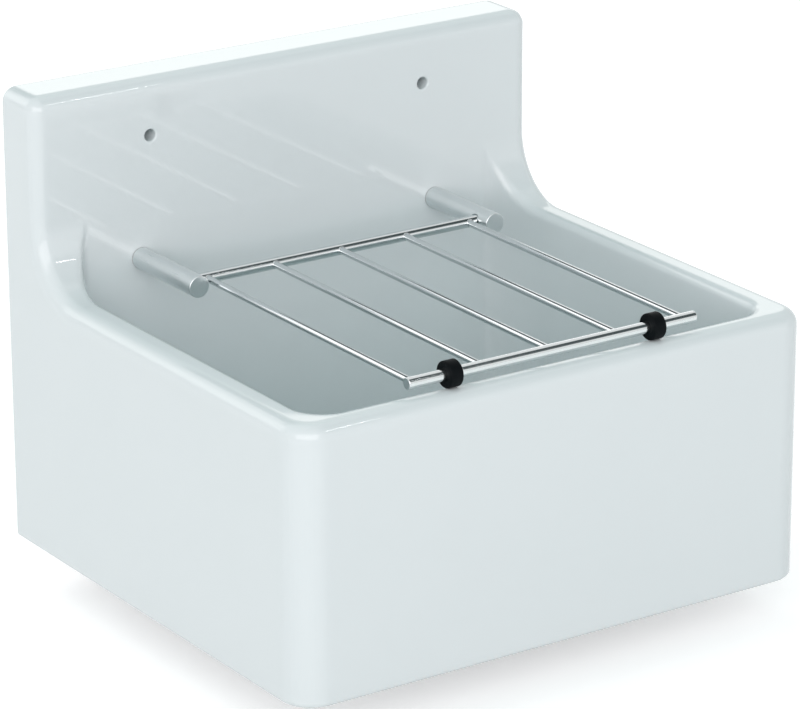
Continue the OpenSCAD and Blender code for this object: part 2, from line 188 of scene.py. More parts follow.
def add_stage():
    """A pale floor under the waste's tail, white to the rays that show the background."""
    floor = added("floor", bpy.ops.mesh.primitive_plane_add, size=FLOOR_SIZE,
                  location=(0, 0, TAIL_END - FLOOR_DROP))
    material, tree, shader = new_material("pale_floor")
    feed(tree, shader.inputs["Base Color"], FLOOR_COLOUR)
    shader.inputs["Roughness"].default_value = 1.0
    shader.inputs["Specular IOR Level"].default_value = 0.0
    feed(tree, shader.inputs["Emission Color"], WHITE)
    feed(tree, shader.inputs["Emission Strength"],
         computed(tree, "MULTIPLY", background_rays(tree), FLOOR_LIFT))
    floor.data.materials.append(material)


def dark_card(tree, direction, level, toward, radius, edge, share):
    """Dims the studio's white round a direction, as a dark card beside a lamp does."""
    near = tree.nodes.new("ShaderNodeVectorMath")
    near.operation = "DOT_PRODUCT"
    near.inputs[1].default_value = Vector(toward).normalized()
    tree.links.new(direction, near.inputs[0])
    mask = tree.nodes.new("ShaderNodeMapRange")
    mask.interpolation_type = "SMOOTHSTEP"
    mask.inputs["From Min"].default_value = cos(radians(radius + edge))
    mask.inputs["From Max"].default_value = cos(radians(radius - edge))
    mask.inputs["To Min"].default_value = 1.0
    mask.inputs["To Max"].default_value = share
    tree.links.new(near.outputs["Value"], mask.inputs["Value"])
    return computed(tree, "MULTIPLY", mask.outputs["Result"], level)


def add_world():
    """A white studio, as three kinds of rays meet it.

    Mirror rays meet white with the dark cards in it. The camera meets plain white. The light
    on the object fades from the walls to the ceiling.
    """
    world = bpy.data.worlds.new("studio")
    bpy.context.scene.world = world
    world.use_nodes = True
    tree = world.node_tree
    direction = tree.nodes.new("ShaderNodeTexCoord").outputs["Generated"]
    level = 1.0
    for card in CARDS:
        level = dark_card(tree, direction, level, *card)
    mirrored = tint(tree, level, CARD_COLOUR, WHITE)
    height = tree.nodes.new("ShaderNodeSeparateXYZ")
    tree.links.new(direction, height.inputs[0])
    rise = tree.nodes.new("ShaderNodeMapRange")
    rise.inputs["From Min"].default_value = FADE_FROM
    rise.inputs["From Max"].default_value = FADE_TO
    tree.links.new(height.outputs["Z"], rise.inputs["Value"])
    lit = tint(tree, rise.outputs["Result"], WALLS, CEILING)
    met = tint(tree, background_rays(tree, camera=False), lit, mirrored)
    rays = tree.nodes.new("ShaderNodeLightPath").outputs
    background = tree.nodes["Background"]
    tree.links.new(tint(tree, rays["Is Camera Ray"], met, WHITE), background.inputs["Color"])
    background.inputs["Strength"].default_value = 1.0


def add_softbox(name, place, width, height, power, colour=WHITE):
    data = bpy.data.lights.new(name, "AREA")
    data.color = colour
    data.shape = "RECTANGLE"
    data.size = width
    data.size_y = height
    data.energy = power
    light = bpy.data.objects.new(name, data)
    bpy.context.scene.collection.objects.link(light)
    light.location = place
    aim = Vector(LIGHTS_AIM) - Vector(place)
    light.rotation_euler = aim.to_track_quat("-Z", "Y").to_euler()
    return light


def add_lights():
    add_softbox("softbox_key", (-3.12, -4.2, 2.18), 7.5, 3.4, 185, (1, 0.94, 0.95))
    add_softbox("softbox_back", (-2.03, 3.7, 2.25), 3.0, 2.5, 27, (1, 0.98, 0.97))
    add_softbox("softbox_side", (2.63, 3.55, 1.58), 2.4, 0.9, 7, (1, 0.97, 0.94))
    # Lights the tops from behind the upstand, without an image of its own in the steel
    rear = add_softbox("softbox_over_rear", (0, 3.95, 2.8), 3.0, 1.5, 56, (1, 0.95, 0.95))
    rear.visible_glossy = False
    # A small lamp whose image runs as a thin line along the roundings
    add_softbox("lamp_small", (1.182, -1.933, 1.907), 0.26, 0.065, 1.3)


# ---------- materials ----------

# How noise is stretched so that it runs as marks along a piece or round it
ALONG_X = (40, 2200, 2200)
ALONG_Y = (2200, 40, 2200)
ROUND_Y = (900, 60, 900)
ROUND_Z = (900, 900, 60)
EVEN = (90, 90, 90)
# The worn patches of steel are this share as bright as the rest
WORN_SHARE = 0.94
# How far the roughness of rubber and plastic varies to both sides
RUBBER_SPREAD = 0.08


def object_noise(tree, scale, detail, stretch=(1, 1, 1)):
    """Noise on the piece's own coordinates."""
    coordinates = tree.nodes.new("ShaderNodeTexCoord")
    mapping = tree.nodes.new("ShaderNodeMapping")
    mapping.inputs["Scale"].default_value = stretch
    noise = tree.nodes.new("ShaderNodeTexNoise")
    noise.inputs["Scale"].default_value = scale
    noise.inputs["Detail"].default_value = detail
    tree.links.new(coordinates.outputs["Object"], mapping.inputs["Vector"])
    tree.links.new(mapping.outputs["Vector"], noise.inputs["Vector"])
    return noise.outputs["Fac"]


def vary_roughness(tree, shader, noise, low, high):
    """Lets the roughness wander between two values with the noise."""
    node = tree.nodes.new("ShaderNodeMapRange")
    node.inputs["To Min"].default_value = low
    node.inputs["To Max"].default_value = high
    tree.links.new(noise, node.inputs["Value"])
    tree.links.new(node.outputs["Result"], shader.inputs["Roughness"])


def add_bump(tree, shader, noise, height, strength):
    bump = tree.nodes.new("ShaderNodeBump")
    bump.inputs["Strength"].default_value = strength
    bump.inputs["Distance"].default_value = height
    tree.links.new(noise, bump.inputs["Height"])
    tree.links.new(bump.outputs["Normal"], shader.inputs["Normal"])


def glaze():
    """White vitreous glaze, faintly cool, with the soft ripple of a fired surface."""
    material, tree, shader = new_material("white_glaze")
    cloud = object_noise(tree, scale=9, detail=3)
    ripple = object_noise(tree, scale=38, detail=2)
    colour = tint(tree, cloud, (0.660, 0.726, 0.734), (0.676, 0.739, 0.747))
    tree.links.new(colour, shader.inputs["Base Color"])
    vary_roughness(tree, shader, ripple, 0.04, 0.07)
    shader.inputs["Specular IOR Level"].default_value = 0.5
    add_bump(tree, shader, ripple, height=0.08 * MM, strength=0.25)
    return material


def steel(name, colour, rough_low, rough_high, grain, grain_height):
    """Steel with fine drawing marks; the grain stretches their noise."""
    material, tree, shader = new_material(name)
    marks = object_noise(tree, scale=1, detail=4, stretch=grain)
    worn = object_noise(tree, scale=60, detail=3)
    shader.inputs["Metallic"].default_value = 1.0
    tree.links.new(tint(tree, worn, [c * WORN_SHARE for c in colour], colour),
                   shader.inputs["Base Color"])
    vary_roughness(tree, shader, marks, rough_low, rough_high)
    add_bump(tree, shader, marks, grain_height, strength=0.4)
    return material


def rubber(name, dark, light, roughness, gloss=0.5):
    """Moulded rubber or plastic with a fine matt skin."""
    material, tree, shader = new_material(name)
    fine = object_noise(tree, scale=900, detail=3)
    bloom = object_noise(tree, scale=120, detail=2)
    shader.inputs["Specular IOR Level"].default_value = gloss
    tree.links.new(tint(tree, bloom, dark, light), shader.inputs["Base Color"])
    vary_roughness(tree, shader, fine, roughness - RUBBER_SPREAD, roughness + RUBBER_SPREAD)
    add_bump(tree, shader, fine, height=0.06 * MM, strength=0.5)
    return material


GLAZE = glaze()
BAR_STEEL = steel("bar_steel", (0.70, 0.735, 0.74), 0.12, 0.18, ALONG_X, 0.01 * MM)
# The rods and their welds take the bar steel darkened: painted shade that dims their reflections
ROD_STEEL_PAINTED_SHADE = steel("rod_steel", (0.62, 0.655, 0.665), 0.12, 0.18, ALONG_Y, 0.01 * MM)
POST_STEEL = steel("post_steel", (0.75, 0.785, 0.79), 0.25, 0.33, ALONG_Y, 0.015 * MM)
ZINC = steel("zinc_steel", (0.6, 0.61, 0.62), 0.3, 0.5, ROUND_Y, 0.02 * MM)
STRAINER_STEEL = steel("strainer_steel", (0.7, 0.72, 0.73), 0.14, 0.24, EVEN, 0.01 * MM)
CHROME = steel("chrome_plate", (0.8, 0.81, 0.82), 0.05, 0.12, ROUND_Z, 0.005 * MM)
BLACK_RUBBER = rubber(
    "black_rubber", (0.002, 0.003, 0.004), (0.004, 0.006, 0.007), 0.5, gloss=0.06)
SEAL_RUBBER = rubber("seal_rubber", (0.42, 0.44, 0.44), (0.5, 0.52, 0.52), 0.6)
WHITE_SEAL = rubber("white_seal", (0.66, 0.66, 0.63), (0.76, 0.76, 0.73), 0.6)
WASHER_PLASTIC = rubber("washer_plastic", (0.62, 0.62, 0.58), (0.7, 0.7, 0.66), 0.45)
NUT_PLASTIC = rubber("nut_plastic", (0.06, 0.06, 0.065), (0.09, 0.09, 0.095), 0.4)


# ---------- modelling aids ----------

# The angle that one straight piece of a rounded profile turns through
ARC_STEP = radians(15)
# Points of a spun profile that lie closer than this are one point
SAME_POINT = 0.002 * MM
# How far a cutter reaches past what it cuts
PAST = 5 * MM


def added(name, add, **settings):
    """A named primitive, alone selected."""
    bpy.ops.object.select_all(action="DESELECT")
    add(**settings)
    piece = bpy.context.object
    piece.name = piece.data.name = name
    return piece


def select_only(piece):
    bpy.ops.object.select_all(action="DESELECT")
    piece.select_set(True)
    bpy.context.view_layer.objects.active = piece


def apply_place():
    """Puts the place, turn and size of the selected piece into its mesh."""
    bpy.ops.object.transform_apply(location=True, rotation=True, scale=True)


def stand(piece, at, along):
    """Turns an upright piece to point along a direction, with its foot at a place."""
    select_only(piece)
    piece.rotation_mode = "QUATERNION"
    piece.rotation_quaternion = Vector(UP).rotation_difference(Vector(along))
    piece.location = at
    apply_place()


def smooth(piece, angle):
    """Shades a piece smooth, apart from edges sharper than the angle in degrees."""
    select_only(piece)
    bpy.ops.object.shade_smooth_by_angle(angle=radians(angle))


def apply_modifier(piece, kind, **settings):
    select_only(piece)
    modifier = piece.modifiers.new("step", kind)
    for name, value in settings.items():
        setattr(modifier, name, value)
    bpy.ops.object.modifier_apply(modifier=modifier.name)


def weigh_normals(piece):
    """Lets the large flat faces set the shading where they meet a rounding."""
    apply_modifier(piece, "WEIGHTED_NORMAL", keep_sharp=True)


def cut(piece, tool, operation="DIFFERENCE"):
    """Takes a tool's shape from the piece, or keeps what both share; deletes the tool."""
    apply_modifier(piece, "BOOLEAN", operation=operation, solver="EXACT", object=tool)
    bpy.data.objects.remove(tool)


def rounded(corners):
    """An outline through (u, v, radius) corners, each rounded to its radius."""
    points = []
    for i, (u, v, r) in enumerate(corners):
        here = Vector((u, v))
        if r == 0 or i in (0, len(corners) - 1):
            points.append(here)
            continue
        back = (Vector(corners[i - 1][:2]) - here).normalized()
        on = (Vector(corners[i + 1][:2]) - here).normalized()
        half = back.angle(on) / 2
        reach = r / np.tan(half)
        centre = here + (back + on).normalized() * (r / sin(half))
        start = here + back * reach - centre
        sweep = pi - 2 * half
        turn = 1 if back.cross(on) < 0 else -1
        steps = max(2, round(sweep / ARC_STEP))
        for k in range(steps + 1):
            points.append(centre + Matrix.Rotation(turn * sweep * k / steps, 2) @ start)
    return points


def turned(name, corners, at, along, steps=96):
    """A turned piece: a profile of (distance, radius, rounding) corners spun about an axis."""
    piece = added(name, bpy.ops.mesh.primitive_plane_add, size=1 * MM, location=(0, 0, 0))
    bpy.ops.object.mode_set(mode="EDIT")
    bpy.ops.mesh.select_all(action="SELECT")
    bpy.ops.mesh.merge(type="CENTER")
    last = Vector((0, 0))
    for number, point in enumerate(rounded(corners)):
        step = (point.y - last.y, 0, point.x - last.x)
        if number == 0:
            bpy.ops.transform.translate(value=step)
        else:
            bpy.ops.mesh.extrude_vertices_move(TRANSFORM_OT_translate={"value": step})
        last = point
    bpy.ops.mesh.select_all(action="SELECT")
    bpy.ops.mesh.spin(steps=steps, angle=2 * pi, center=(0, 0, 0), axis=UP)
    bpy.ops.mesh.select_all(action="SELECT")
    bpy.ops.mesh.remove_doubles(threshold=SAME_POINT)
    bpy.ops.mesh.normals_make_consistent(inside=False)
    bpy.ops.object.mode_set(mode="OBJECT")
    stand(piece, at, along)
    return piece


def copied(piece, name, shift=(0, 0, 0)):
    """A copy with its own mesh, moved by a shift."""
    select_only(piece)
    bpy.ops.object.duplicate()
    twin = bpy.context.object
    twin.name = twin.data.name = name
    bpy.ops.transform.translate(value=shift)
    apply_place()
    return twin


def mirrored_copy(piece, name):
    """A copy with its own mesh, mirrored to the other side of the middle plane."""
    twin = copied(piece, name)
    twin.scale.x = -1
    apply_place()
    bpy.ops.object.mode_set(mode="EDIT")
    bpy.ops.mesh.select_all(action="SELECT")
    bpy.ops.mesh.normals_make_consistent(inside=False)
    bpy.ops.object.mode_set(mode="OBJECT")
    return twin


def teeth(start, end, radius, pitch, depth):
    """Profile corners of a thread's teeth between two distances."""
    turns = round((end - start) / pitch)
    pitch = (end - start) / turns
    corners = []
    for number in range(turns):
        foot = start + number * pitch
        corners += [(foot + 0.06 * pitch, radius - depth, 0), (foot + 0.44 * pitch, radius, 0),
                    (foot + 0.56 * pitch, radius, 0), (foot + 0.94 * pitch, radius - depth, 0)]
    return corners


def ring_corners(thick, outer, inner, edge, inner_edge=None):
    """Profile corners of a flat ring; its inner edges are rounded half as much, or as told."""
    inner_edge = edge / 2 if inner_edge is None else inner_edge
    return [(thick / 2, inner, 0), (0, inner, inner_edge), (0, outer, edge),
            (thick, outer, edge), (thick, inner, inner_edge), (thick / 2, inner, 0)]


# A nut's chamfer: its slope, and the share of a flat's width that the end face keeps
CHAMFER_SLOPE = 0.577
FACE_SHARE = 0.985
# How far a nut's barrel stands past its corners, and how deep its bore's mouths flare
BARREL_GAP = 0.01 * MM
MOUTH = 0.6 * MM
# Depth of a nut's thread as a share of its pitch
NUT_THREAD = 0.3


def hexagon_nut(name, across, thick, bore, pitch, at, along):
    """A hexagon nut with chamfered corners and a threaded bore."""
    corner = across / 2 / cos(pi / 6)
    drop = (corner - across / 2) * CHAMFER_SLOPE
    face = across / 2 * FACE_SHARE
    nut = added(name, bpy.ops.mesh.primitive_cylinder_add, vertices=6, radius=corner,
                depth=thick, location=(0, 0, thick / 2), rotation=(0, 0, pi / 6))
    apply_place()
    cut(nut, turned("nut_barrel", [
        (0, 0, 0), (0, face, 0), (drop, corner + BARREL_GAP, 0),
        (thick - drop, corner + BARREL_GAP, 0), (thick, face, 0), (thick, 0, 0)
    ], (0, 0, 0), UP, steps=120), "INTERSECT")
    deep = NUT_THREAD * pitch
    cut(nut, turned("nut_bore_cutter", [
        (-1 * MM, 0, 0), (-1 * MM, bore + MOUTH, 0), (0, bore + MOUTH, 0)
    ] + teeth(MOUTH, thick - MOUTH, bore + deep, pitch, deep) + [
        (thick, bore + MOUTH, 0), (thick + 1 * MM, bore + MOUTH, 0), (thick + 1 * MM, 0, 0)
    ], (0, 0, 0), UP, steps=72))
    stand(nut, at, along)
    smooth(nut, 25)
    return nut


def dress(piece, material, body, slot, *nodes):
    """Gives a finished piece its material and its body, and hides the nodes it stands for. The
    slot is not used.
    """
    piece.data.materials.clear()
    piece.data.materials.append(material)
    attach(piece, body)
    if nodes:
        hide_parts(*nodes)


# ---------- ceramic body ----------

UPSTAND_T = 47 * MM
RIM_SIDE = 26.5 * MM
RIM_FRONT = 21.5 * MM
FLOOR_FALL = 5 * MM
CORNER_R = 26 * MM
LIP_R = 12 * MM
TOP_CORNER_R = 12 * MM
SWEEP_R = 51 * MM
BACK_R = 4 * MM
FOOT_R = 4 * MM
# The rim's inner edge loses its rounding over a stretch in front of the upstand
INNER_LIP_R = 7 * MM
LIP_FADE = 20 * MM
LIP_FADE_POWER = 0.7
BOWL_FRONT_R = 25 * MM
# The bowl's rear corners are ovals: their reach along the wall and out from the upstand
BOWL_REAR = (18.5 * MM, 56 * MM)
FLOOR_R = 20 * MM
# The floor dips to the waste inside this radius
DISH_R = 150 * MM
SEAT_R = 37 * MM
SEAT_DEPTH = 6 * MM
OUTLET_R = 26 * MM
POCKET_R = 55 * MM
POCKET_DEPTH = 6 * MM
FIXING_X = 125 * MM
FIXING_Z = 106 * MM
FIXING_R = 4.75 * MM
FIXING_LIP = 1.5 * MM
STUD_HOLE_R = 5.5 * MM
RECESS_R = 14 * MM
RECESS_DEPTH = 12 * MM

# Steps of the grid under the skin, on small and large roundings and between them
TIGHT = 0.9 * MM
FINE = 1.7 * MM
WIDE = 22 * MM
# How far the grid reaches past the body, and how far its fine stretches pass a rounding
GRID_OVER = 1.2 * MM
MARGIN = 2 * MM


def round_inside(a, b, r):
    """Distance to what two solids share, with their common edge rounded to r."""
    corner = np.hypot(np.maximum(a + r, 0), np.maximum(b + r, 0))
    return corner + np.minimum(np.maximum(a, b) + r, 0) - r


def round_joined(a, b, r):
    """Distance to two joined solids, with a hollow of radius r where they meet."""
    hollow = np.hypot(np.maximum(r - a, 0), np.maximum(r - b, 0))
    return np.maximum(np.minimum(a, b), r) - hollow


def oval_inside(a, b, across, along):
    """Distance to what two solids share, with an oval corner instead of a round one."""
    u = np.maximum((a + across) / across, 0)
    v = np.maximum((b + along) / along, 0)
    far = np.hypot(u, v)
    corner = (far - 1) * far / np.maximum(np.hypot(u / across, v / along), 1e-9)
    return np.where(far > 0, corner, np.maximum(a, b))


def floor_height(x, y):
    """Height of the bowl's floor, which dips gently to the waste."""
    t = np.clip((np.hypot(x, y - WASTE_Y) - SEAT_R) / (DISH_R - SEAT_R), 0, 1)
    return FLOOR_LOW + FLOOR_FALL * t * t * (3 - 2 * t)


def ceramic(x, y, z):
    """Distance from the surface of the fired body, negative inside the clay."""
    plan = round_inside(abs(x) - HALF_W, -DEPTH - y, CORNER_R)
    outline = round_inside(plan, z - UPSTAND_H, TOP_CORNER_R)
    rim_and_face = round_joined(z, -UPSTAND_T - y, SWEEP_R)
    block = round_inside(outline, rim_and_face, LIP_R)
    block = round_inside(block, y, BACK_R)
    block = round_inside(block, -BOX_H - z, FOOT_R)
    bowl = round_inside(abs(x) - (HALF_W - RIM_SIDE), -(DEPTH - RIM_FRONT) - y, BOWL_FRONT_R)
    bowl = oval_inside(bowl, y + UPSTAND_T, *BOWL_REAR)
    bowl = round_inside(bowl, floor_height(x, y) - z, FLOOR_R)
    before_face = np.clip((-UPSTAND_T - y) / LIP_FADE, 0, 1)
    return round_inside(block, -bowl, INNER_LIP_R * before_face ** LIP_FADE_POWER)


def stations(start, *stretches):
    """Places from a start through (end, step) stretches."""
    places = [start]
    for end, step in stretches:
        count = max(1, round(abs(end - places[-1]) / step))
        places += list(np.linspace(places[-1], end, count + 1)[1:])
    return np.array(places)


def skin(field, xs, ys, zs):
    """A closed skin of quads where the field is zero, on a grid of uneven spacing."""
    grid = np.stack(np.meshgrid(xs, ys, zs, indexing="ij"), -1)
    value = field(grid[..., 0], grid[..., 1], grid[..., 2])
    cells = tuple(n - 1 for n in value.shape)
    total = np.zeros(cells + (3,))
    count = np.zeros(cells, int)
    crossings = []
    for axis in range(3):
        first = [slice(None)] * 3
        second = [slice(None)] * 3
        first[axis] = slice(None, -1)
        second[axis] = slice(1, None)
        a, b = value[tuple(first)], value[tuple(second)]
        at = np.argwhere((a < 0) != (b < 0))
        va, vb = a[tuple(at.T)], b[tuple(at.T)]
        pa = grid[tuple(first)][tuple(at.T)]
        pb = grid[tuple(second)][tuple(at.T)]
        point = pa + (pb - pa) * (va / (va - vb))[:, None]
        u, v = (axis + 1) % 3, (axis + 2) % 3
        ring = []
        for du, dv in ((0, 0), (-1, 0), (-1, -1), (0, -1)):
            cell = at.copy()
            cell[:, u] += du
            cell[:, v] += dv
            ring.append(cell)
            np.add.at(total, tuple(cell.T), point)
            np.add.at(count, tuple(cell.T), 1)
        crossings.append((ring, va < 0))
    used = count > 0
    number = np.full(cells, -1)
    number[used] = np.arange(used.sum())
    points = total[used] / count[used][:, None]
    quads = []
    for ring, outward in crossings:
        quad = np.stack([number[tuple(cell.T)] for cell in ring], 1)
        quad[~outward] = quad[~outward][:, ::-1]
        quads.append(quad)
    return points, np.concatenate(quads)


def settle(field, points, rounds=8, step=0.01 * MM):
    """Moves points straight on to the surface of the field."""
    for _ in range(rounds):
        value = field(*points.T)
        slope = np.stack([
            (field(*(points + step * axis).T) - field(*(points - step * axis).T)) / (2 * step)
            for axis in np.eye(3)
        ], 1)
        points = points - slope * (value / np.maximum((slope ** 2).sum(1), 0.25))[:, None]
    return points


def body_grid():
    """The grid's places along X, Y and Z, fine where the body is rounded."""
    right = stations(
        9 * MM, (HALF_W - RIM_SIDE - FLOOR_R - MARGIN, WIDE), (HALF_W + GRID_OVER, FINE))
    ys = stations(
        -DEPTH - GRID_OVER, (-DEPTH + RIM_FRONT + BOWL_FRONT_R + MARGIN, FINE),
        (-UPSTAND_T - BOWL_REAR[1] - 2 * MARGIN, WIDE), (-UPSTAND_T + LIP_R + MARGIN, FINE),
        (-BACK_R - MARGIN, 8 * MM), (GRID_OVER, TIGHT))
    zs = stations(
        -BOX_H - GRID_OVER, (-BOX_H + FOOT_R + MARGIN, TIGHT), (FLOOR_LOW - MARGIN, 10 * MM),
        (FLOOR_LOW + FLOOR_FALL + FLOOR_R + MARGIN, FINE), (-LIP_R - 1.5 * MARGIN, WIDE),
        (SWEEP_R + 2 * MARGIN, FINE), (UPSTAND_H - LIP_R - 1.5 * MARGIN, 16 * MM),
        (UPSTAND_H + GRID_OVER, 1.2 * MM))
    return np.concatenate((-right[::-1], right)), ys, zs


def cut_upstand_holes(piece, side):
    """Cuts the hole for a wall screw, and a post's stud hole with the recess for its nut."""
    mouth = FIXING_R + 2 * FIXING_LIP
    cut(piece, turned("fixing_cutter", [
        (-PAST, 0, 0), (-PAST, FIXING_R, 0), (UPSTAND_T, FIXING_R, FIXING_LIP),
        (UPSTAND_T, mouth, 0), (UPSTAND_T + PAST, mouth, 0), (UPSTAND_T + PAST, 0, 0)
    ], (side * FIXING_X, 0, FIXING_Z), OUT, steps=48))
    cut(piece, turned("stud_cutter", [
        (-PAST, 0, 0), (-PAST, RECESS_R, 0), (RECESS_DEPTH, RECESS_R, 1 * MM),
        (RECESS_DEPTH, STUD_HOLE_R, 0), (UPSTAND_T + PAST, STUD_HOLE_R, 0),
        (UPSTAND_T + PAST, 0, 0)
    ], (side * POST_X, 0, POST_Z), OUT, steps=64))


def cut_outlet(piece):
    """Cuts the pocket in the underside, the outlet and the flange's seat in the floor."""
    floor = BOX_H + FLOOR_LOW
    top = floor + 8 * MM
    cut(piece, turned("waste_cutter", [
        (-PAST, 0, 0), (-PAST, POCKET_R, 0), (POCKET_DEPTH, POCKET_R, 2 * MM),
        (POCKET_DEPTH, OUTLET_R, 0), (floor - SEAT_DEPTH, OUTLET_R, 0),
        (floor - SEAT_DEPTH, SEAT_R, 1 * MM), (top, SEAT_R, 0), (top, 0, 0)
    ], (0, WASTE_Y, -BOX_H), UP, steps=128))


def model_sink_body():
    """Models the fired body: a skin over its distance field, with the holes cut into it."""
    points, quads = skin(ceramic, *body_grid())
    points = settle(ceramic, points)
    mesh = bpy.data.meshes.new("sink_body_glazed")
    mesh.from_pydata(points.tolist(), [], quads.tolist())
    piece = bpy.data.objects.new("sink_body_glazed", mesh)
    bpy.context.scene.collection.objects.link(piece)
    for side in (-1, 1):
        cut_upstand_holes(piece, side)
    cut_outlet(piece)
    smooth(piece, 40)
    weigh_normals(piece)
    dress(piece, GLAZE, "sink", "glazed_ceramic", "sink_body")


# ---------- posts, bars and rods ----------

POST_FOOT_EDGE = 0.3 * MM
POST_END_EDGE = 0.5 * MM
# The rear bar's play in its blind holes, round it and at its ends
HINGE_PLAY = 0.08 * MM
END_PLAY = 0.5 * MM
# The mouths of these holes: how much wider they are, and the depths between which they narrow
FLARE = 1.2 * MM
FLARE_FROM = 1.0 * MM
FLARE_TO = 2.2 * MM
BAR_EDGE = 0.7 * MM
RODS = 5
# How far a rod's flat end is sunk past the line where its sides meet the bar
ROD_SUNK = 0.4 * MM
# A weld's bead: its radius, and how far outside the rod its middle runs
BEAD_R = 0.55 * MM
BEAD_OUT = 0.15 * MM


def model_posts():
    """Models the right post with its hole for the rear bar; the left is its mirror image."""
    length = post_high.y - post_low.y
    post = turned("hinge_post_right_steel", [
        (0, 0, 0), (0, POST_R, POST_FOOT_EDGE), (length, POST_R, POST_END_EDGE), (length, 0, 0)
    ], (POST_X, post_high.y, POST_Z), OUT)
    mouth = POST_X - POST_R
    deep = rear_high.x + END_PLAY - mouth
    cut(post, turned("bar_hole_cutter", [
        (-6 * MM, 0, 0), (-6 * MM, BAR_R + FLARE, 0), (FLARE_FROM, BAR_R + FLARE, 0),
        (FLARE_TO, BAR_R + HINGE_PLAY, 0), (deep, BAR_R + HINGE_PLAY, 0), (deep, 0, 0)
    ], (mouth, REAR_Y, POST_Z), RIGHT, steps=64))
    smooth(post, 30)
    twin = mirrored_copy(post, "hinge_post_left_steel")
    for piece, node in ((post, "hinge_post_right"), (twin, "hinge_post_left")):
        weigh_normals(piece)
        dress(piece, POST_STEEL, "sink", "satin_steel", node)


def model_bars():
    """Models the two straight bars of the grating."""
    for node in ("rear_bar", "front_bar"):
        low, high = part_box(node)
        length = high.x - low.x
        bar = turned(node + "_steel", [
            (0, 0, 0), (0, BAR_R, BAR_EDGE), (length, BAR_R, BAR_EDGE), (length, 0, 0)
        ], (low.x, (low.y + high.y) / 2, (low.z + high.z) / 2), RIGHT, steps=72)
        smooth(bar, 30)
        weigh_normals(bar)
        dress(bar, BAR_STEEL, "grating", "polished_steel", node)


def saddle(across):
    """How far a rod's end lies from the bar's axis at a height across the rod."""
    return sqrt(BAR_R ** 2 - across ** 2)


def rod_place(number):
    """Where a rod's axis lies along the wall."""
    low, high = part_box("rod_%d" % number)
    return (low.x + high.x) / 2


def model_weld(name, x, y, way):
    """The small fillet of weld round a rod where it meets a bar."""
    weld = added(name, bpy.ops.mesh.primitive_torus_add, major_radius=ROD_R + BEAD_OUT,
                 minor_radius=BEAD_R, major_segments=40, minor_segments=10,
                 rotation=(pi / 2, 0, 0))
    apply_place()
    for vertex in weld.data.vertices:
        height = max(-ROD_R, min(ROD_R, vertex.co.z))
        vertex.co += Vector((x, y + way * saddle(height), BAR_Z))
    smooth(weld, 60)
    return weld


def model_rods():
    """Models the first rod with its two welds, and copies them for the other rods."""
    first = rod_place(1)
    sunk = saddle(ROD_R) - ROD_SUNK
    start = REAR_Y - sunk
    length = start - (FRONT_Y + sunk)
    rod = turned("rod_1_steel", [
        (0, 0, 0), (0, ROD_R, 0), (length, ROD_R, 0), (length, 0, 0)
    ], (first, start, BAR_Z), OUT, steps=56)
    smooth(rod, 30)
    rear = model_weld("weld_rear_1", first, REAR_Y, -1)
    front = model_weld("weld_front_1", first, FRONT_Y, 1)
    sets = [(rod, rear, front)]
    for number in range(2, RODS + 1):
        shift = (rod_place(number) - first, 0, 0)
        sets.append((copied(rod, "rod_%d_steel" % number, shift),
                     copied(rear, "weld_rear_%d" % number, shift),
                     copied(front, "weld_front_%d" % number, shift)))
    for number, (rod, *welds) in enumerate(sets, 1):
        dress(rod, ROD_STEEL_PAINTED_SHADE, "grating", "polished_steel", "rod_%d" % number)
        for weld in welds:
            dress(weld, ROD_STEEL_PAINTED_SHADE, "grating", "polished_steel")


# ---------- buffers ----------

BUFFER_EDGE = 1.5 * MM
BUFFER_INNER_EDGE = 0.25 * MM
BUFFER_GAP = 0.05 * MM


def model_buffers():
    """Models the right rubber ring and copies it to the left."""
    low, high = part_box("buffer_right")
    ring = turned("buffer_right_rubber", ring_corners(
        high.x - low.x, (high.z - low.z) / 2, BAR_R + BUFFER_GAP, BUFFER_EDGE, BUFFER_INNER_EDGE
    ), (low.x, (low.y + high.y) / 2, (low.z + high.z) / 2), RIGHT)
    smooth(ring, 50)
    twin = copied(ring, "buffer_left_rubber", (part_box("buffer_left")[0].x - low.x, 0, 0))
    dress(ring, BLACK_RUBBER, "grating", "black_rubber", "buffer_right")
    dress(twin, BLACK_RUBBER, "grating", "black_rubber", "buffer_left")


# ---------- fastening behind the upstand ----------

STUD_PITCH = 1.25 * MM
STUD_THREAD = 0.6 * MM
# The stretch of the stud that is threaded, from its rear end
STUD_TEETH = (0.9 * MM, 17.4 * MM)
STUD_GAP = 0.1 * MM


def behind_right(node):
    """Where a piece on the right stud starts, how thick it is and its radius."""
    low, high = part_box(node + "_right")
    return (POST_X, high.y, POST_Z), high.y - low.y, (high.x - low.x) / 2


def both_studs(piece, material, slot, node):
    """Dresses the right-hand piece and its copy on the left."""
    twin = copied(piece, node + "_left_fine", (-2 * POST_X, 0, 0))
    dress(piece, material, "sink", slot, node + "_right")
    dress(twin, material, "sink", slot, node + "_left")


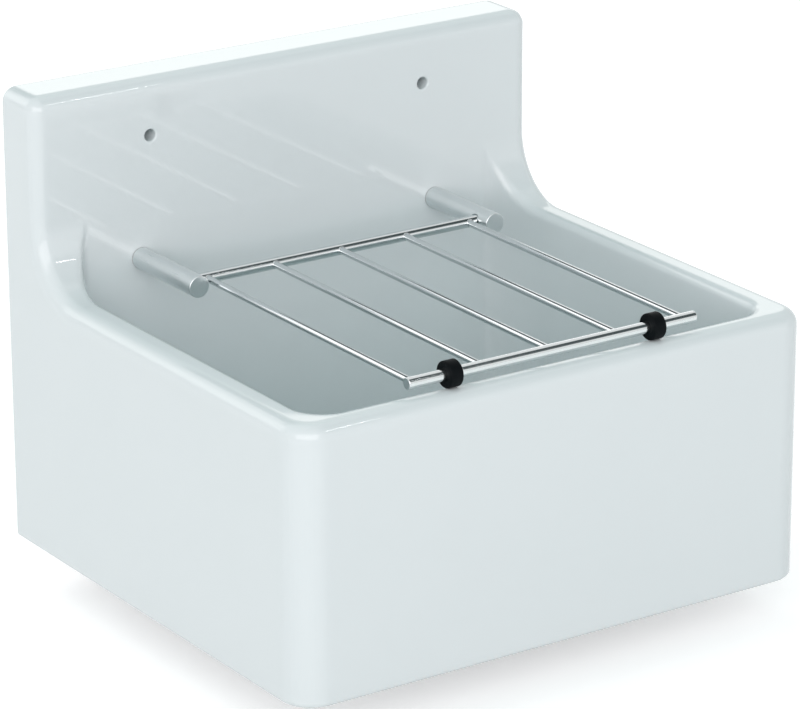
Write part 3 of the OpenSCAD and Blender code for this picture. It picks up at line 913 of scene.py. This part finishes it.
def model_fastening():
    """Models the right stud and what sits on it, each copied to the left."""
    at, length, radius = behind_right("post_stud")
    stud = turned("post_stud_right_fine", [
        (0, 0, 0), (0, radius - 0.9 * MM, 0), (0.7 * MM, radius - 0.3 * MM, 0)
    ] + teeth(*STUD_TEETH, radius, STUD_PITCH, STUD_THREAD) + [
        (18 * MM, radius, 0), (length, radius, 0.6 * MM), (length, 0, 0)
    ], at, OUT, steps=64)
    smooth(stud, 25)
    both_studs(stud, ZINC, "zinc_steel", "post_stud")
    inner = radius + STUD_GAP
    for node, edge, material, slot in (
            ("post_gasket", 0.25 * MM, SEAL_RUBBER, "seal_rubber"),
            ("back_cushion", 0.5 * MM, SEAL_RUBBER, "seal_rubber"),
            ("back_washer", 0.25 * MM, ZINC, "zinc_steel")):
        at, thick, outer = behind_right(node)
        ring = turned(node + "_right_fine", ring_corners(thick, outer, inner, edge), at, OUT)
        smooth(ring, 40)
        both_studs(ring, material, slot, node)
    low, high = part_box("back_nut_right")
    nut = hexagon_nut("back_nut_right_fine", high.z - low.z, high.y - low.y, inner, STUD_PITCH,
                      (POST_X, high.y, POST_Z), OUT)
    both_studs(nut, ZINC, "zinc_steel", "back_nut")


# ---------- waste ----------

BORE_R = 20 * MM
FLANGE_T = 4 * MM
TAIL_R = 23.9 * MM
TAIL_PITCH = 2.31 * MM
TAIL_THREAD = 0.7 * MM
# The smooth neck under the flange, and the groove between the nut's thread and the trap's
NECK = 14 * MM
GROOVE = 1.5 * MM
GRID_GAP = 0.3 * MM
BRIDGE_W = 8 * MM
BRIDGE_H = 12 * MM
BRIDGE_SUNK = 0.8 * MM
BRIDGE_EDGE = 1 * MM
SCREW_R = 2.5 * MM
SCREW_GAP = 0.1 * MM
SCREW_HEAD_T = 1.5 * MM
SCREW_PITCH = 0.8 * MM
SCREW_THREAD = 0.4 * MM
SCREW_SLOT = (12 * MM, 1.1 * MM, 1.7 * MM)
HOLE_R = 2.75 * MM
HOLE_FLARE = 0.5 * MM
# Each ring of holes: its radius, how many, and by what share of a step it is turned
HOLE_RINGS = ((10 * MM, 6, 0.0), (16.75 * MM, 12, 0.5))
SEAL_BORE_R = 24 * MM


def downward(node):
    """Where a waste piece starts on its way down, how thick it is and its radius."""
    low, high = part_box(node)
    return (0, WASTE_Y, high.z), high.z - low.z, (high.x - low.x) / 2


def model_waste_body():
    """Models the flange with its recess for the grid, and the threaded tail."""
    at, length, flange_r = downward("waste_body")
    _, grid_t, grid_r = downward("strainer_grid")
    recess = grid_r + GRID_GAP
    nut_end = FLOOR_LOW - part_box("waste_backnut")[0].z
    body = turned("waste_body_chrome", [
        (20 * MM, BORE_R, 0), (grid_t, BORE_R, 0.4 * MM), (grid_t, recess, 0.2 * MM),
        (0.1 * MM, recess, 0.25 * MM), (0.1 * MM, recess + 1.2 * MM, 3 * MM),
        (0.9 * MM, flange_r, 0.8 * MM), (FLANGE_T, flange_r, 0.5 * MM),
        (FLANGE_T, TAIL_R, 0.6 * MM), (FLANGE_T + NECK, TAIL_R, 0)
    ] + teeth(FLANGE_T + NECK + 0.5 * MM, nut_end, TAIL_R, TAIL_PITCH, TAIL_THREAD) + [
        (nut_end + GROOVE, TAIL_R - TAIL_THREAD, 0)
    ] + teeth(nut_end + GROOVE + 0.1 * MM, length - 1.2 * MM, TAIL_R, TAIL_PITCH, TAIL_THREAD) + [
        (length, TAIL_R - 2 * TAIL_THREAD, 0.3 * MM), (length, BORE_R, 0.5 * MM),
        (20 * MM, BORE_R, 0)
    ], at, DOWN, steps=128)
    smooth(body, 25)
    dress(body, CHROME, "sink", "chrome_plate", "waste_body")


def model_waste_bridge():
    """Models the bar across the waste's bore that takes the centre screw."""
    grid_t = downward("strainer_grid")[1]
    bridge = added("waste_bridge_chrome", bpy.ops.mesh.primitive_cube_add, size=1,
                   location=(0, WASTE_Y, FLOOR_LOW - grid_t - BRIDGE_H / 2),
                   scale=(2 * (BORE_R + BRIDGE_SUNK), BRIDGE_W, BRIDGE_H))
    apply_place()
    bpy.ops.object.mode_set(mode="EDIT")
    bpy.ops.mesh.select_all(action="SELECT")
    bpy.ops.mesh.bevel(offset=BRIDGE_EDGE, segments=4, profile=0.5)
    bpy.ops.object.mode_set(mode="OBJECT")
    hole = SCREW_R + SCREW_GAP
    deep = BRIDGE_H + 4 * MM
    cut(bridge, turned("screw_hole_cutter", [
        (0, 0, 0), (0, hole, 0), (deep, hole, 0), (deep, 0, 0)
    ], (0, WASTE_Y, FLOOR_LOW), DOWN, steps=48))
    smooth(bridge, 30)
    weigh_normals(bridge)
    dress(bridge, CHROME, "sink", "chrome_plate")


def model_strainer_grid():
    """Models the strainer's disc and cuts its rings of countersunk holes."""
    at, thick, outer = downward("strainer_grid")
    hole = SCREW_R + SCREW_GAP
    grid = turned("strainer_grid_steel", [
        (thick / 2, hole, 0), (0.05 * MM, hole, 0.1 * MM), (0.05 * MM, outer, 0.7 * MM),
        (thick, outer, 0.3 * MM), (thick, hole, 0.1 * MM), (thick / 2, hole, 0)
    ], at, DOWN, steps=128)
    cutter = turned("hole_cutter", [
        (-1 * MM, 0, 0), (-1 * MM, HOLE_R + HOLE_FLARE, 0), (0.05 * MM, HOLE_R + HOLE_FLARE, 0),
        (0.5 * MM, HOLE_R, 0.4 * MM), (thick + 1 * MM, HOLE_R, 0), (thick + 1 * MM, 0, 0)
    ], at, DOWN, steps=40)
    for reach, count, offset in HOLE_RINGS:
        for number in range(count):
            turn = 2 * pi * (number + offset) / count
            cut(grid, copied(cutter, "hole_cutter_copy",
                             (reach * cos(turn), reach * sin(turn), 0)))
    bpy.data.objects.remove(cutter)
    smooth(grid, 30)
    weigh_normals(grid)
    dress(grid, STRAINER_STEEL, "sink", "polished_steel", "strainer_grid")


def model_strainer_screw():
    """Models the slotted centre screw with its low round head."""
    at, length, head_r = downward("strainer_screw")
    shank = SCREW_HEAD_T + 3 * MM
    screw = turned("strainer_screw_steel", [
        (0, 0, 0), (0, 2.6 * MM, 3 * MM), (0.55 * MM, head_r, 0.5 * MM),
        (SCREW_HEAD_T, head_r, 0.12 * MM), (SCREW_HEAD_T, SCREW_R, 0), (shank, SCREW_R, 0)
    ] + teeth(shank, length - 1 * MM, SCREW_R, SCREW_PITCH, SCREW_THREAD) + [
        (length, SCREW_R - 0.9 * MM, 0), (length, 0, 0)
    ], at, DOWN, steps=64)
    slot_cutter = added("slot_cutter", bpy.ops.mesh.primitive_cube_add, size=1, location=at,
                        scale=SCREW_SLOT)
    apply_place()
    cut(screw, slot_cutter)
    smooth(screw, 30)
    dress(screw, STRAINER_STEEL, "sink", "polished_steel", "strainer_screw")


def model_seals():
    """Models the rings that seal the waste in the floor, and the large nut under them."""
    for node, edge, material, slot in (
            ("waste_top_seal", 0.6 * MM, WHITE_SEAL, "white_seal"),
            ("waste_bottom_seal", 0.9 * MM, SEAL_RUBBER, "seal_rubber"),
            ("waste_slip_washer", 0.3 * MM, WASHER_PLASTIC, "washer_plastic")):
        at, thick, outer = downward(node)
        ring = turned(node + "_fine", ring_corners(thick, outer, SEAL_BORE_R, edge), at, DOWN,
                      steps=128)
        smooth(ring, 40)
        dress(ring, material, "sink", slot, node)
    low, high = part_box("waste_backnut")
    nut = hexagon_nut("waste_backnut_fine", high.y - low.y, high.z - low.z, SEAL_BORE_R,
                      TAIL_PITCH, (0, WASTE_Y, low.z), UP)
    dress(nut, NUT_PLASTIC, "sink", "nut_plastic", "waste_backnut")


# ---------- everything ----------

add_camera()
add_stage()
add_world()
add_lights()
model_sink_body()
model_posts()
model_bars()
model_rods()
model_buffers()
model_fastening()
model_waste_body()
model_waste_bridge()
model_strainer_grid()
model_strainer_screw()
model_seals()
